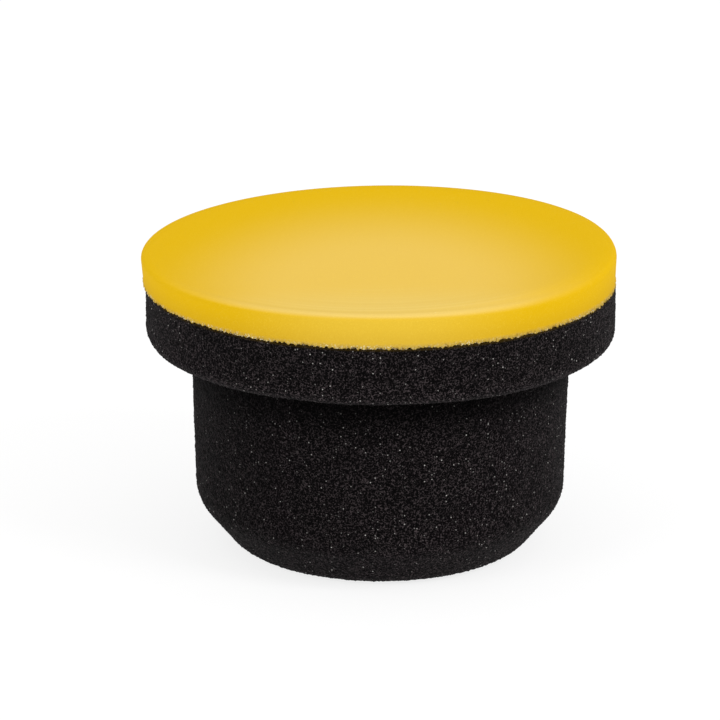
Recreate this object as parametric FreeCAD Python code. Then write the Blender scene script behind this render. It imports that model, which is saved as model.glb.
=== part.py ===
import FreeCAD, Part
import math
import os

from FreeCAD import Vector

# A hand polishing pad, standing on the flat end of its grip with the polishing face up.
# Three blocks of polyurethane foam are glued one on another: grip, flange, polishing face.
# All lengths are in millimetres.  Z runs up the turning axis, and z = 0 is the grip's end.

# Driving dimensions, from the bottom up.
GRIP_HEIGHT = 35.6
GRIP_TOP_RADIUS = 32.0
GRIP_SIDE_FOOT_RADIUS = 31.3
BEVEL_HEIGHT = 8.5
BEVEL_FOOT_RADIUS = 24.2
BEVEL_TOP_ROUNDING = 5.5
BEVEL_FOOT_ROUNDING = 7.0

GLUE_THICKNESS = 0.2
GLUE_SET_BACK = 0.4

FLANGE_THICKNESS = 10.0
FLANGE_TOP_RADIUS = 39.6
FLANGE_FOOT_RADIUS = 39.3
FLANGE_FOOT_ROUNDING = 2.2

FACE_RADIUS = 40.0
FACE_FOOT_RADIUS = 39.8
FACE_THICKNESS = 5.7
FACE_EDGE_ROUNDING = 1.3
DISH_RADIUS = 37.6
DISH_DEPTH = 1.5

# Heights at which one piece ends and the next begins.
GRIP_GLUE_BOTTOM = GRIP_HEIGHT
FLANGE_BOTTOM = GRIP_GLUE_BOTTOM + GLUE_THICKNESS
FLANGE_TOP = FLANGE_BOTTOM + FLANGE_THICKNESS
FACE_BOTTOM = FLANGE_TOP + GLUE_THICKNESS
FACE_TOP = FACE_BOTTOM + FACE_THICKNESS


def turned(outline):
    """Turn a closed outline of (radius, height) points about the Z axis into one solid."""
    points = [Vector(radius, 0, height) for radius, height in outline]
    points.append(points[0])
    profile = Part.Face(Part.makePolygon(points))
    return profile.revolve(Vector(0, 0, 0), Vector(0, 0, 1), 360)


def ease_rim(solid, height, rounding):
    """Round the outermost circular edge of a turned solid that lies at the given height."""
    rims = [edge for edge in solid.Edges
            if edge.BoundBox.ZLength < 1e-6 and math.isclose(edge.BoundBox.ZMin, height)]
    outermost = max(rims, key=lambda edge: edge.BoundBox.XLength)
    return solid.makeFillet(rounding, [outermost])


def grip_foam():
    """The firm block held in the hand: slightly tapered, with a wide softened bevel."""
    block = turned([
        (0, 0),
        (BEVEL_FOOT_RADIUS, 0),
        (GRIP_SIDE_FOOT_RADIUS, BEVEL_HEIGHT),
        (GRIP_TOP_RADIUS, GRIP_HEIGHT),
        (0, GRIP_HEIGHT),
    ])
    block = ease_rim(block, BEVEL_HEIGHT, BEVEL_TOP_ROUNDING)
    return ease_rim(block, 0, BEVEL_FOOT_ROUNDING)


def glue_film(radius, bottom):
    """A skin of set adhesive that stops a little short of the edge of the foam above it."""
    film = Part.makeCylinder(radius - GLUE_SET_BACK, GLUE_THICKNESS)
    film.translate(Vector(0, 0, bottom))
    return film


def flange_foam():
    """The firm disc that backs the polishing face, with its lower rim rounded over."""
    disc = turned([
        (0, FLANGE_BOTTOM),
        (FLANGE_FOOT_RADIUS, FLANGE_BOTTOM),
        (FLANGE_TOP_RADIUS, FLANGE_TOP),
        (0, FLANGE_TOP),
    ])
    return ease_rim(disc, FLANGE_BOTTOM, FLANGE_FOOT_ROUNDING)


def face_foam():
    """The soft polishing disc, with a rolled rim and a shallow dish inside it."""
    disc = turned([
        (0, FACE_BOTTOM),
        (FACE_FOOT_RADIUS, FACE_BOTTOM),
        (FACE_RADIUS, FACE_TOP),
        (0, FACE_TOP),
    ])
    disc = ease_rim(disc, FACE_TOP, FACE_EDGE_ROUNDING)
    dish_curve = (DISH_RADIUS ** 2 + DISH_DEPTH ** 2) / (2 * DISH_DEPTH)
    ball = Part.makeSphere(dish_curve)
    ball.translate(Vector(0, 0, FACE_TOP - DISH_DEPTH + dish_curve))
    return disc.cut(ball)


pieces = {
    "grip_foam": grip_foam(),
    "grip_glue_film": glue_film(GRIP_TOP_RADIUS, GRIP_GLUE_BOTTOM),
    "flange_foam": flange_foam(),
    "face_glue_film": glue_film(FLANGE_TOP_RADIUS, FLANGE_TOP),
    "face_foam": face_foam(),
}

os.makedirs("parts", exist_ok=True)
for node, shape in pieces.items():
    shape.exportStep(f"parts/{node}.step")
    box = shape.optimalBoundingBox(False)
    print(
        f"{node}: solids {len(shape.Solids)}, closed {shape.isClosed()}, valid {shape.isValid()}, "
        f"z {box.ZMin:.2f} to {box.ZMax:.2f}, width {box.XLength:.2f}, volume {shape.Volume / 1000:.2f} cm3"
    )
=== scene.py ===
import math

import bmesh
import bpy
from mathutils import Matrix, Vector, noise


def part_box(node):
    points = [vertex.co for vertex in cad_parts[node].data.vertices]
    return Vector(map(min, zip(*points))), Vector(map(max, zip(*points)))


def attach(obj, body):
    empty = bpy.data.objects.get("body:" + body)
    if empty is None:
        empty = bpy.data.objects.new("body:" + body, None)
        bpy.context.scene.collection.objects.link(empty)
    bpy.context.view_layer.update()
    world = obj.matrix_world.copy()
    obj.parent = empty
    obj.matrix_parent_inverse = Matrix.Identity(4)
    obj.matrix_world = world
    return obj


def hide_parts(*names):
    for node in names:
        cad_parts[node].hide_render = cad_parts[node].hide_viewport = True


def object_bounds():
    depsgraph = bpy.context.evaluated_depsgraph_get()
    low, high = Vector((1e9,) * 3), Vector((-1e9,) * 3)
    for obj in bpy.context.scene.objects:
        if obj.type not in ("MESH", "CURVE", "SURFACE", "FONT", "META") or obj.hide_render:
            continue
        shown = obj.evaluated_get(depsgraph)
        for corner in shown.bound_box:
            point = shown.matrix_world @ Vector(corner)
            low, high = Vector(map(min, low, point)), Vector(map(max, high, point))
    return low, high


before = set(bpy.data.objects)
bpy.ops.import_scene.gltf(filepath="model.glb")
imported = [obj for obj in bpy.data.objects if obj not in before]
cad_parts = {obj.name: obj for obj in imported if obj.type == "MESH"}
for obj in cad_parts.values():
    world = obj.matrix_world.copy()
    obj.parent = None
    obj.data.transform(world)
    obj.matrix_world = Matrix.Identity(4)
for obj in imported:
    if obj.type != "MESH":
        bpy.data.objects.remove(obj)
cad_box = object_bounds()


# ---------------------------------------------------------------------------------------------
# Grip.  A firm block of black fine-cell polyurethane foam, cut round with a slight taper and a
# wide softened bevel at its end.  The fingers go round it, and its flat top is glued under the
# flange.

MM = 0.001

grip_low, grip_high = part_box("grip_foam")
grip_top_radius = grip_high.x
grip_taper = 0.7 * MM
grip_bevel_height = 8.3 * MM
grip_bevel_easing = 1.9 * MM
grip_flat_radius = 24.6 * MM
grip_flat_easing = 2.4 * MM
grip_foot_radius = grip_top_radius - grip_taper

foam_mesh_spacing = 0.3 * MM
foam_cell_width = 0.6 * MM
foam_cell_depth = 0.2 * MM


def turned(outline, steps):
    """Turn a chain of (radius, height) points, from axis to axis, into a closed skin."""
    skin = bmesh.new()
    corners = [skin.verts.new((radius, 0, height)) for radius, height in outline]
    chain = [skin.edges.new(pair) for pair in zip(corners, corners[1:])]
    bmesh.ops.spin(
        skin,
        geom=corners + chain,
        cent=(0, 0, 0),
        axis=(0, 0, 1),
        angle=math.tau,
        steps=steps,
        use_merge=True,
    )
    bmesh.ops.remove_doubles(skin, verts=skin.verts, dist=0.002 * MM)
    bmesh.ops.recalc_face_normals(skin, faces=skin.faces)
    return skin


def soften_rim(skin, radius, height, setback, segments):
    """Round the ring of edges of a turned skin that passes through this radius and height."""
    def on_ring(corner):
        away = math.hypot(corner.co.xy.length - radius, corner.co.z - height)
        return away < 0.05 * MM

    ring = [edge for edge in skin.edges if all(on_ring(corner) for corner in edge.verts)]
    bmesh.ops.bevel(
        skin,
        geom=ring,
        offset=setback,
        offset_type="OFFSET",
        affect="EDGES",
        segments=segments,
        profile=0.5,
        material=-1,
    )


def finished(skin, name):
    """Give a skin its own object, standing where the skin was made."""
    mesh = bpy.data.meshes.new(name)
    skin.to_mesh(mesh)
    skin.free()
    mesh.shade_smooth()
    piece = bpy.data.objects.new(name, mesh)
    bpy.context.scene.collection.objects.link(piece)
    return piece


def apply_modifiers(piece):
    """Turn a piece and its modifiers into one plain mesh."""
    shaped = piece.evaluated_get(bpy.context.evaluated_depsgraph_get())
    plain = bpy.data.meshes.new_from_object(shaped)
    plain.name = piece.name
    piece.modifiers.clear()
    piece.data = plain


def even_mesh(piece, spacing):
    """Trade the long faces of a turned piece for small even ones that can carry foam cells."""
    remesh = piece.modifiers.new("even", "REMESH")
    remesh.mode = "VOXEL"
    remesh.voxel_size = spacing
    remesh.use_smooth_shade = True
    apply_modifiers(piece)


def cut_cells(piece, seed, covered, rests_at):
    """Sink each cut cell of the foam, leave its walls proud, and let the cut wander a little.

    Covered stretches stay flat, and nothing goes lower than what the piece rests on.
    """
    shift = Vector((seed, 3 * seed, 7 * seed))
    places = []
    for corner in piece.data.vertices:
        spot = corner.co / foam_cell_width + shift
        nearest, second = noise.voronoi(spot)[0][:2]
        wall = 1 - min(1, 1.6 * (second - nearest))
        torn = 0.5 + noise.noise(spot * 1.9)
        wander = 0.8 * noise.noise(spot * 0.045)
        amount = 0 if covered(corner.co) else foam_cell_depth * (wall * torn - 0.35 + wander)
        place = corner.co + amount * corner.normal
        places.append((place.x, place.y, max(place.z, rests_at)))
    for corner, place in zip(piece.data.vertices, places):
        corner.co = place


def under_flange(place):
    """Whether a point of the grip is on its glued top."""
    return place.z > grip_high.z - 0.1 * MM


grip_skin = turned(
    [
        (0, grip_low.z),
        (grip_flat_radius, grip_low.z),
        (grip_foot_radius, grip_low.z + grip_bevel_height),
        (grip_top_radius, grip_high.z),
        (0, grip_high.z),
    ],
    steps=256,
)
soften_rim(grip_skin, grip_foot_radius, grip_low.z + grip_bevel_height, grip_bevel_easing, segments=8)
soften_rim(grip_skin, grip_flat_radius, grip_low.z, grip_flat_easing, segments=8)
grip = finished(grip_skin, "grip_block")
even_mesh(grip, foam_mesh_spacing)
cut_cells(grip, seed=11, covered=under_flange, rests_at=grip_low.z)


def feed(tree, socket, value):
    """Link a socket to another node's output, or set it to a plain value."""
    if isinstance(value, bpy.types.NodeSocket):
        tree.links.new(value, socket)
    else:
        socket.default_value = value


def node(tree, kind, settings=None, values=(), **named):
    """Add a shader node with its settings, and feed its inputs in order and by name."""
    made = tree.nodes.new(kind)
    for name, setting in (settings or {}).items():
        setattr(made, name, setting)
    for socket, value in zip(made.inputs, values):
        feed(tree, socket, value)
    for name, value in named.items():
        feed(tree, made.inputs[name.replace("_", " ")], value)
    return made


def math_node(tree, operation, first, second):
    """The result of a sum on two values or masks."""
    return node(tree, "ShaderNodeMath", {"operation": operation}, (first, second)).outputs["Value"]


def multiply(tree, first, second):
    """The product of two values or masks."""
    return math_node(tree, "MULTIPLY", first, second)


def fade(tree, value, start, end, at_start=0.0, at_end=1.0):
    """A soft step of a value from one level to another."""
    step = node(
        tree, "ShaderNodeMapRange", {"interpolation_type": "SMOOTHSTEP"},
        Value=value, From_Min=start, From_Max=end, To_Min=at_start, To_Max=at_end,
    )
    return step.outputs["Result"]


def cloud(tree, place, per_metre, detail):
    """A soft random value that changes over the surface."""
    return node(tree, "ShaderNodeTexNoise", Vector=place, Scale=per_metre, Detail=detail).outputs["Fac"]


def cut_foam_group():
    """Cut foam: torn pieces of cell wall, a height for them, and a few cells picked out pale as painted
    glints.
    """
    group = bpy.data.node_groups.new("cut_foam", "ShaderNodeTree")
    sockets = group.interface
    sockets.new_socket("Place", in_out="INPUT", socket_type="NodeSocketVector")
    sockets.new_socket("Cells per Metre", in_out="INPUT", socket_type="NodeSocketFloat")
    sockets.new_socket("Painted Glint Share", in_out="INPUT", socket_type="NodeSocketFloat")
    for name in ("Wall", "Height", "Painted Glint"):
        sockets.new_socket(name, in_out="OUTPUT", socket_type="NodeSocketFloat")
    given = group.nodes.new("NodeGroupInput").outputs
    place, cells = given["Place"], given["Cells per Metre"]

    edge = node(group, "ShaderNodeTexVoronoi", {"feature": "DISTANCE_TO_EDGE"}, Vector=place, Scale=cells)
    web = fade(group, edge.outputs["Distance"], 0.02, 0.26, 1.0, 0.0)
    finer = multiply(group, cells, 1.3)
    tear = node(group, "ShaderNodeTexNoise", Vector=place, Scale=finer, Detail=1.0, Roughness=0.6)
    torn = fade(group, tear.outputs["Fac"], 0.42, 0.68)

    cell = node(group, "ShaderNodeTexVoronoi", {"feature": "F1"}, Vector=place, Scale=cells)
    dice = node(group, "ShaderNodeSeparateColor", Color=cell.outputs["Color"]).outputs
    lit = fade(group, dice["Blue"], 0.0, 1.0, 0.4, 1.6)
    wall = multiply(group, multiply(group, web, torn), lit)

    lucky = math_node(group, "LESS_THAN", dice["Red"], given["Painted Glint Share"])
    core = fade(group, cell.outputs["Distance"], 0.08, 0.38, 1.0, 0.0)
    strength = math_node(group, "POWER", dice["Green"], 2.0)
    painted_glint = multiply(group, multiply(group, lucky, core), strength)

    out = group.nodes.new("NodeGroupOutput").inputs
    feed(group, out["Wall"], wall)
    feed(group, out["Height"], multiply(group, web, tear.outputs["Fac"]))
    feed(group, out["Painted Glint"], painted_glint)
    return group


cut_foam = cut_foam_group()


def cut_surface(tree, place, cells_per_metre, painted_glint_share):
    """The outputs of a cut foam surface placed in a material."""
    made = tree.nodes.new("ShaderNodeGroup")
    made.node_tree = cut_foam
    feed(tree, made.inputs["Place"], place)
    made.inputs["Cells per Metre"].default_value = cells_per_metre
    made.inputs["Painted Glint Share"].default_value = painted_glint_share
    return made.outputs


def blank_material(name):
    """A new material, with its node tree and its shader."""
    material = bpy.data.materials.new(name)
    material.use_nodes = True
    return material, material.node_tree, material.node_tree.nodes["Principled BSDF"]


def mixed(tree, share, below, above):
    """A colour between two others.

    The node takes colours on its sockets 6 and 7, and gives the mixed one on its output 2.
    """
    mix = node(tree, "ShaderNodeMix", {"data_type": "RGBA"}, (share,))
    feed(tree, mix.inputs[6], below)
    feed(tree, mix.inputs[7], above)
    return mix.outputs[2]


def raise_grain(tree, shader, height, strength, depth):
    """Let a height over the surface bend the shader's normal."""
    bump = node(tree, "ShaderNodeBump", Height=height, Strength=strength, Distance=depth)
    feed(tree, shader.inputs["Normal"], bump.outputs["Normal"])


open_cell_black = (0.0018, 0.0014, 0.0016, 1)
dull_wall_black = (0.027, 0.0218, 0.0230, 1)
dusty_wall_grey = (0.065, 0.0522, 0.0548, 1)
# The pale grey below is for painted glints.
painted_glint_grey = (0.50, 0.485, 0.46, 1)
adhesive_brown = (0.042, 0.025, 0.002, 1)


def black_foam_material(name, painted_light, painted_shade, left_side_shade, seam_height):
    """Black firm foam: a light trap with torn grey cell walls and a few painted glints.

    Two heights, each with a brightness factor, grade the walls between them from painted light to painted
    shade.  The left-side factor is the share of brightness kept on the left side, as painted shade.
    Adhesive stains the foam below its seam.
    left_side_shade is the share of it on the cleaner side.  Adhesive stains the foam below its seam.
    """
    material, tree, shader = blank_material(name)
    place = tree.nodes.new("ShaderNodeTexCoord").outputs["Object"]
    foam = cut_surface(tree, place, cells_per_metre=2500, painted_glint_share=0.11)

    blotch = cloud(tree, place, per_metre=90.0, detail=3.0)
    wall_tone = mixed(tree, blotch, dull_wall_black, dusty_wall_grey)
    tone = mixed(tree, foam["Wall"], open_cell_black, wall_tone)
    # A few cells turned pale grey, as painted glints.
    tone = mixed(tree, foam["Painted Glint"], tone, painted_glint_grey)

    parts = node(tree, "ShaderNodeSeparateXYZ", Vector=place).outputs
    # Painted light and shade by height, and painted shade on the left side, scale the wall tone.
    painted_height_light = fade(tree, parts["Z"], painted_light[0], painted_shade[0], painted_light[1], painted_shade[1])
    painted_side_shade = fade(tree, parts["X"], -26 * MM, 0.0, left_side_shade, 1.0)
    painted_light_tone = node(tree, "ShaderNodeVectorMath", {"operation": "SCALE"}, (tone,),
                  Scale=multiply(tree, painted_height_light, painted_side_shade))
    stain = fade(tree, parts["Z"], seam_height - 0.55 * MM, seam_height - 0.1 * MM, 0.0, 0.75)
    tone = mixed(tree, stain, painted_light_tone.outputs["Vector"], adhesive_brown)
    feed(tree, shader.inputs["Base Color"], tone)

    raise_grain(tree, shader, foam["Height"], strength=1.0, depth=0.1 * MM)
    shader.inputs["Roughness"].default_value = 0.8
    shader.inputs["Specular IOR Level"].default_value = 0.02
    shader.inputs["Sheen Weight"].default_value = 0.03
    shader.inputs["Sheen Roughness"].default_value = 0.4
    return material


# Painted shade darkens the grip under the flange, and its left side.
grip.data.materials.append(
    black_foam_material(
        "black_grip_foam",
        painted_light=(grip_high.z - 9 * MM, 1.0),
        painted_shade=(grip_high.z - 2.5 * MM, 0.28),
        left_side_shade=0.60,
        seam_height=grip_high.z,
    )
)
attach(grip, "root")
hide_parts("grip_foam")


# ---------------------------------------------------------------------------------------------
# Flange.  A disc of the same black foam, wider than the grip, with its lower rim rounded over.
# It backs the polishing face and is glued to the foam above and below it.

flange_low, flange_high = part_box("flange_foam")
flange_radius = flange_high.x
flange_easing = 2.3 * MM

flange_skin = turned(
    [
        (0, flange_low.z),
        (flange_radius, flange_low.z),
        (flange_radius, flange_high.z),
        (0, flange_high.z),
    ],
    steps=256,
)
soften_rim(flange_skin, flange_radius, flange_low.z, flange_easing, segments=6)
flange = finished(flange_skin, "flange_disc")
even_mesh(flange, foam_mesh_spacing)


def under_face(place):
    """Whether a point of the flange is covered by the polishing face's glue."""
    return place.z > flange_high.z - 0.1 * MM and place.xy.length < flange_radius - 0.5 * MM


cut_cells(flange, seed=23, covered=under_face, rests_at=grip_high.z)
# A painted highlight along the flange's lower rim, and a little painted shade on its left side.
flange.data.materials.append(
    black_foam_material(
        "black_flange_foam",
        painted_light=(flange_low.z + 0.8 * MM, 1.4),
        painted_shade=(flange_low.z + 3 * MM, 1.05),
        left_side_shade=0.92,
        seam_height=flange_high.z,
    )
)
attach(flange, "root")
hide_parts("flange_foam")


# ---------------------------------------------------------------------------------------------
# Glue films.  Thin skins of set contact adhesive between the foams.  The one under the
# polishing face creeps out of the seam here and there as a ragged brown and cream line.

film_low, film_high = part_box("face_glue_film")
bead_centre = Vector((film_high.x + 0.1 * MM, (film_low.z + film_high.z) / 2))
bead_radius = 0.45 * MM
bead_root = bead_centre.x - 1 * MM
lump_width = 0.45 * MM
long_lump_width = 3 * MM
glue_brown = (0.22, 0.13, 0.03, 1)
glue_cream = (0.66, 0.54, 0.28, 1)


def split_rings(skin, parts):
    """Divide every edge that runs round a turned skin, so that its rim can carry fine teeth."""
    def runs_round(edge):
        first, second = (corner.co for corner in edge.verts)
        level = abs(first.z - second.z) < 0.001 * MM
        return level and abs(first.xy.length - second.xy.length) < 0.001 * MM

    rings = [edge for edge in skin.edges if runs_round(edge)]
    bmesh.ops.subdivide_edges(skin, edges=rings, cuts=parts - 1, use_grid_fill=True)


def half_round(centre, radius, count):
    """Points round the outer half of a small circle, from its lowest point to its highest."""
    turns = [math.radians(180 * step / count - 90) for step in range(count + 1)]
    return [(centre.x + radius * math.cos(turn), centre.y + radius * math.sin(turn)) for turn in turns]


def squeezed_out(place):
    """Where a point of the even bead goes: swollen where glue was squeezed out, thin elsewhere."""
    reach = place.xy.length - bead_centre.x
    if reach <= -0.1 * MM:
        return place
    lump = noise.noise(place / lump_width) + 0.6 * noise.noise(place / long_lump_width)
    swell = min(1.1, max(0.05, 0.15 + 1.2 * lump))
    moved = place.xy.normalized() * (bead_centre.x + swell * reach)
    return (moved.x, moved.y, bead_centre.y + swell * (place.z - bead_centre.y))


def glue_material():
    """Set contact adhesive: brown to cream, slightly glossy, uneven."""
    material, tree, shader = blank_material("set_adhesive")
    place = tree.nodes.new("ShaderNodeTexCoord").outputs["Object"]
    lumps = cloud(tree, place, per_metre=1500.0, detail=3.0)
    feed(tree, shader.inputs["Base Color"], mixed(tree, lumps, glue_brown, glue_cream))
    raise_grain(tree, shader, lumps, strength=0.6, depth=0.05 * MM)
    shader.inputs["Roughness"].default_value = 0.5
    return material


glue = glue_material()
hidden_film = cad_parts["grip_glue_film"]
hidden_film.data.materials.clear()
hidden_film.data.materials.append(glue)

film_skin = turned(
    [(0, film_low.z), (bead_root, film_low.z)]
    + half_round(bead_centre, bead_radius, count=6)
    + [(bead_root, film_high.z), (0, film_high.z)],
    steps=300,
)
split_rings(film_skin, parts=4)
for corner in film_skin.verts:
    corner.co = squeezed_out(corner.co)
face_glue = finished(film_skin, "face_glue")
face_glue.data.materials.append(glue)
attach(face_glue, "root")
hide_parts("face_glue_film")


# ---------------------------------------------------------------------------------------------
# Polishing face.  A disc of soft yellow fine-cell foam, a little wider than the flange, with a
# ground satin working face, dished towards the middle, and a cut lower edge that is ragged.

face_low, face_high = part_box("face_foam")
face_height = face_high.z - face_low.z
face_radius = face_high.x
face_foot_radius = face_radius - 0.2 * MM
face_roll = 1.1 * MM
face_crest = face_high.z - face_roll
lip_radius = face_radius - 2.2 * MM
dish_depth = 1.5 * MM

torn_height = 0.9 * MM
torn_top = face_low.z + torn_height
torn_in_out = 0.28 * MM
torn_drop = 0.5 * MM
torn_sag = 0.06 * MM
torn_sag_slope = 0.004
torn_cell_width = 0.4 * MM
fine_torn_cell_width = 0.17 * MM
hanging_cell_width = 0.45 * MM

pressed_turn = math.radians(-35)
pressed_side = Vector((math.cos(pressed_turn), math.sin(pressed_turn)))
pressed_width = 4.5 * MM
pressed_from = face_radius - pressed_width
pressed_depth = 1.0 * MM

face_shift = -0.2 * MM
face_lean = -0.13 * MM
face_thickening = 0.015
face_trim = 0.18 * MM


def straight(start, end, count):
    """Evenly spaced (radius, height) points from start up to, but without, end."""
    shares = [step / count for step in range(count)]
    return [tuple(a + (b - a) * share for a, b in zip(start, end)) for share in shares]


def rolled(centre, radius, count):
    """Points round a rolled rim, from its outermost point up to, but without, its highest."""
    turns = [math.radians(90 * step / count) for step in range(count)]
    return [(centre[0] + radius * math.cos(turn), centre[1] + radius * math.sin(turn)) for turn in turns]


def dish(count):
    """Points from the lip down the upturned rim of the dish to its flat middle."""
    shares = [1 - step / count for step in range(count + 1)]
    return [(lip_radius * share, face_high.z - dish_depth * (1 - share ** 3)) for share in shares]


def height_share(place):
    """How far up the face a point is, from 0 underneath to 1 at the lip."""
    return (place.z - face_low.z) / face_height


def torn_edge(place):
    """Where a point near the cut lower edge goes: torn cells, in and out, up and down."""
    low_share = max(0.0, 1 - (place.z - face_low.z) / torn_height)
    if low_share == 0 or place.xy.length < face_foot_radius - 0.05 * MM:
        return place
    pull = noise.noise(place / torn_cell_width) + 0.5 * noise.noise(place / fine_torn_cell_width)
    drop = noise.noise(place / hanging_cell_width + Vector((9, 9, 9))) + 0.1
    moved = place.copy()
    moved.xy *= 1 + torn_in_out * low_share * pull / face_radius
    moved.z -= low_share ** 2 * (torn_drop * drop + torn_sag + torn_sag_slope * place.x)
    return moved


def pressed_lip(place):
    """The lip has been pressed lower and rounder over one quarter, where the pad is leant on."""
    past = (place.xy.length - pressed_from) / pressed_width
    if past <= 0:
        return place
    toward = max(0.0, place.xy.normalized().dot(pressed_side)) ** 3
    return place - Vector((0, 0, pressed_depth * toward * past ** 2 * height_share(place)))


def uneven_cut(place):
    """The disc sits slightly off centre, leans a little, and is cut thicker on one side."""
    share = height_share(place)
    thicker = face_thickening * place.x - face_trim
    return place + Vector((face_shift + face_lean * share, 0, thicker * share))


face_skin = turned(
    straight((0, face_low.z), (face_foot_radius - 0.1 * MM, face_low.z), count=3)
    + straight((face_foot_radius, face_low.z), (face_foot_radius, torn_top), count=6)
    + straight((face_foot_radius, torn_top), (face_radius, face_crest), count=8)
    + rolled((face_radius - face_roll, face_crest), face_roll, count=6)
    + dish(count=20),
    steps=300,
)
split_rings(face_skin, parts=4)
for corner in face_skin.verts:
    corner.co = uneven_cut(pressed_lip(torn_edge(corner.co)))
face = finished(face_skin, "face_disc")

# Among these, the two paler top yellows are a painted sheen and a painted reflection, the lip yellow and
# the plain wall yellow are painted shade, the paler wall yellow is a painted sheen, and the amber is
# painted shade near the seam.
deep_yellow = (0.755, 0.458, 0.003, 1)
top_sheen_yellow = (0.822, 0.546, 0.096, 1)
front_reflection_yellow = (0.805, 0.562, 0.130, 1)
lip_shade_yellow = (0.62, 0.41, 0.08, 1)
wall_shade_yellow = (0.70, 0.422, 0.004, 1)
wall_sheen_yellow = (0.715, 0.462, 0.036, 1)
ring_yellow = (0.90, 0.66, 0.20, 1)
torn_cell_yellow = (1.0, 0.76, 0.10, 1)
seam_shade_amber = (0.40, 0.22, 0.02, 1)
frayed_tan = (0.36, 0.27, 0.08, 1)
crumb_cream = (0.86, 0.80, 0.55, 1)
adhesive_stain = (0.17, 0.09, 0.015, 1)


def plan_length(tree, vector):
    """How long a vector is, seen from above."""
    flat = node(tree, "ShaderNodeVectorMath", {"operation": "MULTIPLY"}, (vector, (1, 1, 0)))
    length = node(tree, "ShaderNodeVectorMath", {"operation": "LENGTH"}, (flat.outputs["Vector"],))
    return length.outputs["Value"]


def within_ellipse(tree, place, forward, half_width, half_depth, fades):
    """A mask in plan that fades from 1 to 0 between two shares of the way out of an ellipse."""
    centred = node(tree, "ShaderNodeMapping", {"vector_type": "TEXTURE"}, Vector=place,
                   Location=(0, -forward, 0), Scale=(half_width, half_depth, 1))
    return fade(tree, plan_length(tree, centred.outputs["Vector"]), *fades, 1.0, 0.0)


def face_tone_with_painted_light(tree, place, up):
    """Deep at the rim, paler over the top as a painted sheen, palest at the front as a painted
    reflection, and finely ringed there; painted shade on the walls and the front lip, and a painted sheen
    on the front of the wall.
    """
    upward = fade(tree, up, 0.15, 0.92)
    side = fade(tree, up, 0.85, 0.15)
    # A painted sheen pales the top, centred a little towards the front.
    top_sheen_area = within_ellipse(
        tree, place, forward=20 * MM, half_width=37 * MM, half_depth=55 * MM, fades=(0.38, 1.05)
    )
    # A painted reflection, strongest at the front of the top.
    front_reflection_area = within_ellipse(
        tree, place, forward=42 * MM, half_width=36 * MM, half_depth=26 * MM, fades=(0.2, 1.0)
    )
    # A painted sheen on the front of the wall.
    wall_sheen_area = within_ellipse(
        tree, place, forward=40 * MM, half_width=30 * MM, half_depth=18 * MM, fades=(0.1, 1.0)
    )
    top_sheen = multiply(tree, top_sheen_area, upward)
    front_reflection = multiply(tree, front_reflection_area, upward)
    painted_light = multiply(tree, wall_sheen_area, side)

    radius = plan_length(tree, place)
    # Painted shade darkens the front lip.
    outer_lip = fade(tree, radius, lip_radius - 0.3 * MM, lip_radius + 0.9 * MM, 0.0, 0.33)
    lip_shade = multiply(tree, outer_lip, top_sheen)
    ring = node(tree, "ShaderNodeTexNoise", {"noise_dimensions": "1D"}, W=radius, Scale=700.0, Detail=2.0)
    ringed = multiply(tree, fade(tree, ring.outputs["Fac"], 0.4, 0.65), front_reflection)

    tone = mixed(tree, top_sheen, deep_yellow, top_sheen_yellow)
    tone = mixed(tree, front_reflection, tone, front_reflection_yellow)
    tone = mixed(tree, lip_shade, tone, lip_shade_yellow)
    # Painted shade: the walls, facing sideways, are darker than the top.
    tone = mixed(tree, side, tone, wall_shade_yellow)
    tone = mixed(tree, painted_light, tone, wall_sheen_yellow)
    return mixed(tree, multiply(tree, ringed, 0.35), tone, ring_yellow)


def seam_tone(tree, place, tone):
    """Darker near the flange as painted shade, then frayed, with cream crumbs and brown stains, at the
    cut.
    """
    parts = node(tree, "ShaderNodeSeparateXYZ", Vector=place).outputs
    # Painted shade: the wall darkens towards the flange.
    seam_shade = fade(tree, parts["Z"], face_low.z, face_low.z + 4 * MM, 0.26, 0.0)
    low = fade(tree, parts["Z"], face_low.z - 0.2 * MM, face_low.z + 0.8 * MM, 1.0, 0.0)
    wiped = fade(tree, parts["X"], 10 * MM, 28 * MM, 1.0, 0.35)
    patch = fade(tree, cloud(tree, place, per_metre=160.0, detail=2.0), 0.36, 0.62, 0.25, 1.0)
    patchy = multiply(tree, patch, wiped)
    crumb = fade(tree, cloud(tree, place, per_metre=3300.0, detail=1.0), 0.53, 0.66)
    crumbs = multiply(tree, crumb, multiply(tree, low, patchy))
    stain = fade(tree, cloud(tree, place, per_metre=1900.0, detail=2.0), 0.54, 0.66)
    stains = multiply(tree, stain, multiply(tree, low, low))

    tone = mixed(tree, seam_shade, tone, seam_shade_amber)
    tone = mixed(tree, multiply(tree, low, 0.6), tone, frayed_tan)
    tone = mixed(tree, crumbs, tone, crumb_cream)
    return mixed(tree, stains, tone, adhesive_stain)


def yellow_foam_material():
    """Yellow polishing foam: soft, satin, with fine cut cells, a painted sheen on top, painted shade on
    the walls and towards the seam, and frayed at the seam.
    """
    material, tree, shader = blank_material("yellow_polishing_foam")
    place = tree.nodes.new("ShaderNodeTexCoord").outputs["Object"]
    facing = tree.nodes.new("ShaderNodeNewGeometry").outputs["Normal"]
    up = node(tree, "ShaderNodeSeparateXYZ", Vector=facing).outputs["Z"]
    foam = cut_surface(tree, place, cells_per_metre=3200, painted_glint_share=0.0)

    tone = face_tone_with_painted_light(tree, place, up)
    tone = mixed(tree, multiply(tree, foam["Wall"], 0.10), tone, torn_cell_yellow)
    feed(tree, shader.inputs["Base Color"], seam_tone(tree, place, tone))
    raise_grain(tree, shader, foam["Height"], strength=0.4, depth=0.05 * MM)
    shader.inputs["Roughness"].default_value = 0.75
    shader.inputs["Specular IOR Level"].default_value = 0.02
    return material


face.data.materials.append(yellow_foam_material())
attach(face, "root")
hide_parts("face_foam")


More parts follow.
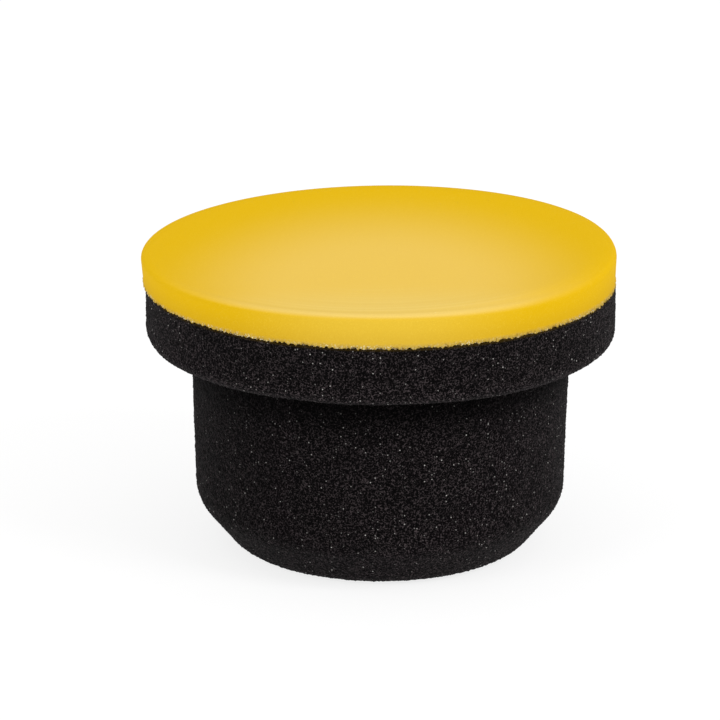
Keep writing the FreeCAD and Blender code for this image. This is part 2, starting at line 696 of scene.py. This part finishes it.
# ---------------------------------------------------------------------------------------------
# Stage.  A plain pale floor that glows a little, as a lit studio table does, an even white
# room, a soft box at each side, and the camera.

floor_skin = bmesh.new()
bmesh.ops.create_grid(floor_skin, x_segments=1, y_segments=1, size=6)
floor = finished(floor_skin, "floor")
floor_finish, _, floor_shader = blank_material("pale_floor")
floor_shader.inputs["Base Color"].default_value = (0.25, 0.25, 0.25, 1)
floor_shader.inputs["Roughness"].default_value = 0.9
floor_shader.inputs["Specular IOR Level"].default_value = 0.0
floor_shader.inputs["Emission Color"].default_value = (1, 1, 1, 1)
floor_shader.inputs["Emission Strength"].default_value = 0.79
floor.data.materials.append(floor_finish)

world = bpy.data.worlds.new("studio_air")
world.use_nodes = True
world.node_tree.nodes["Background"].inputs["Color"].default_value = (1, 1, 1, 1)
world.node_tree.nodes["Background"].inputs["Strength"].default_value = 0.80
bpy.context.scene.world = world

middle = (cad_box[0] + cad_box[1]) / 2


def aim(thing, place, target):
    """Stand a light or a camera at a place and turn it to a target."""
    thing.location = place
    thing.rotation_euler = (target - place).to_track_quat("-Z", "Y").to_euler()
    bpy.context.scene.collection.objects.link(thing)


def soft_light(name, place, power):
    """A round soft box, half a metre across, that points at the middle of the pad."""
    lamp = bpy.data.lights.new(name, "AREA")
    lamp.shape = "DISK"
    lamp.size = 0.5
    lamp.energy = power
    aim(bpy.data.objects.new(name, lamp), Vector(place), middle)


soft_light("key", (0.78, -0.55, 0.72), power=4.7)
soft_light("fill", (-0.80, -0.60, 0.42), power=2.5)

lens = bpy.data.cameras.new("camera")
lens.lens = 188
lens.sensor_width = 36
lens.clip_start = 0.01
camera = bpy.data.objects.new("camera", lens)
camera_rise = math.radians(18.2)
camera_distance = 640 * MM
camera_shift = Vector((-3.45 * MM, 0, 5.5 * MM))
camera_stand = middle + camera_distance * Vector((0, -math.cos(camera_rise), math.sin(camera_rise)))
aim(camera, camera_stand, middle + camera_shift)
bpy.context.scene.camera = camera

bpy.context.scene.view_settings.view_transform = "Standard"
